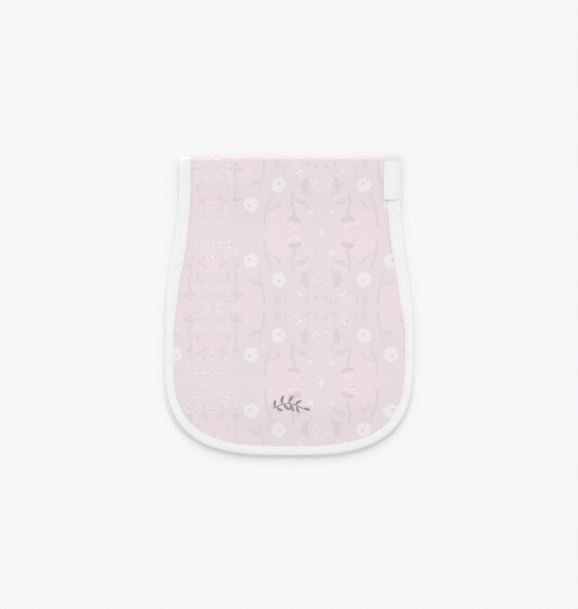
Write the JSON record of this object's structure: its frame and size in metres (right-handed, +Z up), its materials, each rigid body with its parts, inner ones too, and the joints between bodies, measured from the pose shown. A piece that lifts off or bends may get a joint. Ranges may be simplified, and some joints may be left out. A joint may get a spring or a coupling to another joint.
{
  "type": "burp cloth",
  "caption": "Contoured burp cloth of soft printed cotton with a bound edge, narrow at the neck and full at the ends, folded in half and lying flat.",
  "frame": {"origin": "on the surface that the cloth lies on, under the middle of its outline", "axes": "+Z up from the surface, +Y towards the fold, +X towards the side that carries the label"},
  "size_m": [0.239, 0.283, 0.0093],
  "materials": {
    "printed_cotton": "soft matt brushed cotton",
    "white_binding": "soft matt jersey",
    "woven_label": "smooth woven satin",
    "embroidery_thread": "soft lustre of stranded cotton"
  },
  "bodies": {
    "root": {"printed_panel": "printed_cotton", "edge_binding": "white_binding", "side_label": "woven_label"}
  },
  "joints": []
}
